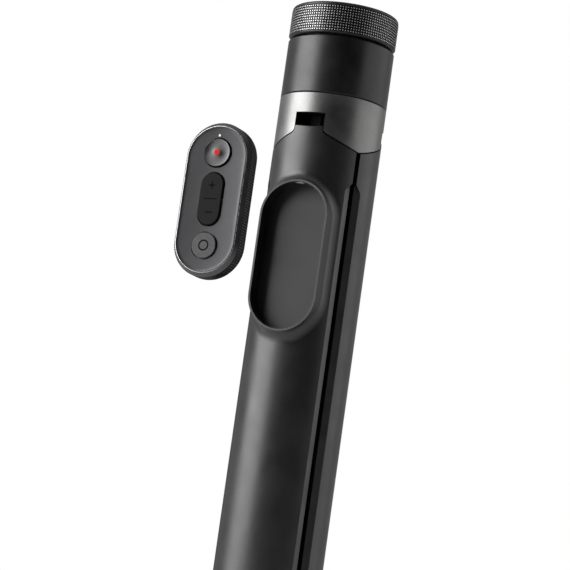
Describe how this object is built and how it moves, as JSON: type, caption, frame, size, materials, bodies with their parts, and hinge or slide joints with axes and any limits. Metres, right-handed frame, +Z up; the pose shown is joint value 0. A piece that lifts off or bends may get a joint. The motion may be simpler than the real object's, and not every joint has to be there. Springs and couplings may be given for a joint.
{
  "type": "tripod selfie stick",
  "caption": "Telescoping selfie stick whose handle folds out into tripod legs, with a knurled head wheel and a detachable wireless remote.",
  "frame": {"origin": "on the stick's axis, in the plane of the folded legs' feet", "axes": "+Z up along the stick, -Y towards the leg that carries the remote's cradle"},
  "size_m": [0.0424, 0.1176, 0.3034],
  "materials": {
    "wheel_metal": "satin",
    "collar_metal": "satin",
    "hub_metal": "satin",
    "inner_plastic": "matte",
    "leg_shell": "satin",
    "foot_rubber": "matte",
    "pin_steel": "satin",
    "tube_metal": "satin",
    "cradle_sheet": "matte",
    "magnet": "polished",
    "head_rubber": "matte",
    "remote_shell": "matte",
    "remote_frame": "satin",
    "remote_face": "satin",
    "record_metal": "satin",
    "record_red": "gloss",
    "key_plastic": "matte",
    "lens": "gloss",
    "board": "satin",
    "cell_steel": "satin"
  },
  "bodies": {
    "base": {"collar_shell": "collar_metal", "collar_liner": "inner_plastic", "hub_ring": "hub_metal", "hub_core": "inner_plastic", "core_tube": "tube_metal", "core_cap": "inner_plastic", "core_ferrule": "inner_plastic"},
    "leg_1": {"leg_1_shell": "leg_shell", "leg_1_cover": "inner_plastic", "leg_1_foot": "foot_rubber", "leg_1_pin": "pin_steel", "cradle_floor": "cradle_sheet", "cradle_magnets": "magnet", "cradle_latch": "pin_steel"},
    "leg_2": {"leg_2_shell": "leg_shell", "leg_2_cover": "inner_plastic", "leg_2_foot": "foot_rubber", "leg_2_pin": "pin_steel"},
    "leg_3": {"leg_3_shell": "leg_shell", "leg_3_cover": "inner_plastic", "leg_3_foot": "foot_rubber", "leg_3_pin": "pin_steel"},
    "stage_1": {"mast_stage_1": "tube_metal", "stage_1_bush": "inner_plastic", "stage_1_ferrule": "inner_plastic"},
    "stage_2": {"mast_stage_2": "tube_metal", "stage_2_bush": "inner_plastic", "stage_2_ferrule": "inner_plastic"},
    "stage_3": {"mast_stage_3": "tube_metal", "stage_3_bush": "inner_plastic", "stage_3_ferrule": "inner_plastic"},
    "stage_4": {"mast_stage_4": "tube_metal", "stage_4_bush": "inner_plastic", "stage_4_ferrule": "inner_plastic"},
    "stage_5": {"mast_stage_5": "tube_metal", "stage_5_bush": "inner_plastic", "head_core": "tube_metal", "head_washer": "inner_plastic"},
    "head": {"head_wheel": "wheel_metal", "head_pad": "head_rubber", "head_stud": "pin_steel", "stud_clip": "pin_steel"},
    "remote": {"remote_back_shell": "remote_shell", "remote_bezel": "remote_frame", "remote_seal": "head_rubber", "remote_face_plate": "remote_face", "led_lens": "lens", "remote_board": "board", "key_domes": "pin_steel", "coin_cell": "cell_steel", "cell_clip": "pin_steel", "remote_steel_sheet": "pin_steel", "remote_screws": "pin_steel", "rocker_pin": "pin_steel"},
    "record_key": {"record_button": "record_metal", "record_dot": "record_red"},
    "zoom_key": {"zoom_rocker": "key_plastic"},
    "mode_key": {"mode_button": "key_plastic"}
  },
  "joints": [
    {"name": "leg_1_fold", "type": "hinge", "parent": "base", "child": "leg_1", "pos_m": [0, -0.0178, 0.2452], "axis": [-1, 0, 0], "range_deg": [0, 58]},
    {"name": "leg_2_fold", "type": "hinge", "parent": "base", "child": "leg_2", "pos_m": [0.01541, 0.0089, 0.2452], "axis": [0.5, -0.866, 0], "range_deg": [0, 58]},
    {"name": "leg_3_fold", "type": "hinge", "parent": "base", "child": "leg_3", "pos_m": [-0.01541, 0.0089, 0.2452], "axis": [0.5, 0.866, 0], "range_deg": [0, 58]},
    {"name": "stage_1_slide", "type": "slide", "parent": "base", "child": "stage_1", "axis": [0, 0, 1], "range_m": [0, 0.24]},
    {"name": "stage_2_slide", "type": "slide", "parent": "stage_1", "child": "stage_2", "axis": [0, 0, 1], "range_m": [0, 0.24]},
    {"name": "stage_3_slide", "type": "slide", "parent": "stage_2", "child": "stage_3", "axis": [0, 0, 1], "range_m": [0, 0.24]},
    {"name": "stage_4_slide", "type": "slide", "parent": "stage_3", "child": "stage_4", "axis": [0, 0, 1], "range_m": [0, 0.24]},
    {"name": "stage_5_slide", "type": "slide", "parent": "stage_4", "child": "stage_5", "axis": [0, 0, 1], "range_m": [0, 0.24]},
    {"name": "head_turn", "type": "hinge", "parent": "stage_5", "child": "head", "pos_m": [0, 0, 0.29], "axis": [0, 0, 1], "continuous": true},
    {"name": "remote_dock", "type": "slide", "parent": "leg_1", "child": "remote", "axis": [0, -0.9973, 0.0738], "range_m": [-0.07156, 0]},
    {"name": "record_press", "type": "slide", "parent": "remote", "child": "record_key", "axis": [0, 1, 0], "range_m": [0, 0.0006], "stiffness_N_per_m": 1200, "springref_m": -0.0006},
    {"name": "mode_press", "type": "slide", "parent": "remote", "child": "mode_key", "axis": [0, 1, 0], "range_m": [0, 0.0006], "stiffness_N_per_m": 1200, "springref_m": -0.0006},
    {"name": "zoom_rock", "type": "hinge", "parent": "remote", "child": "zoom_key", "pos_m": [0, -0.09467, 0.2031], "axis": [1, 0, 0], "range_deg": [-2, 2], "stiffness_Nm_per_rad": 0.28}
  ]
}
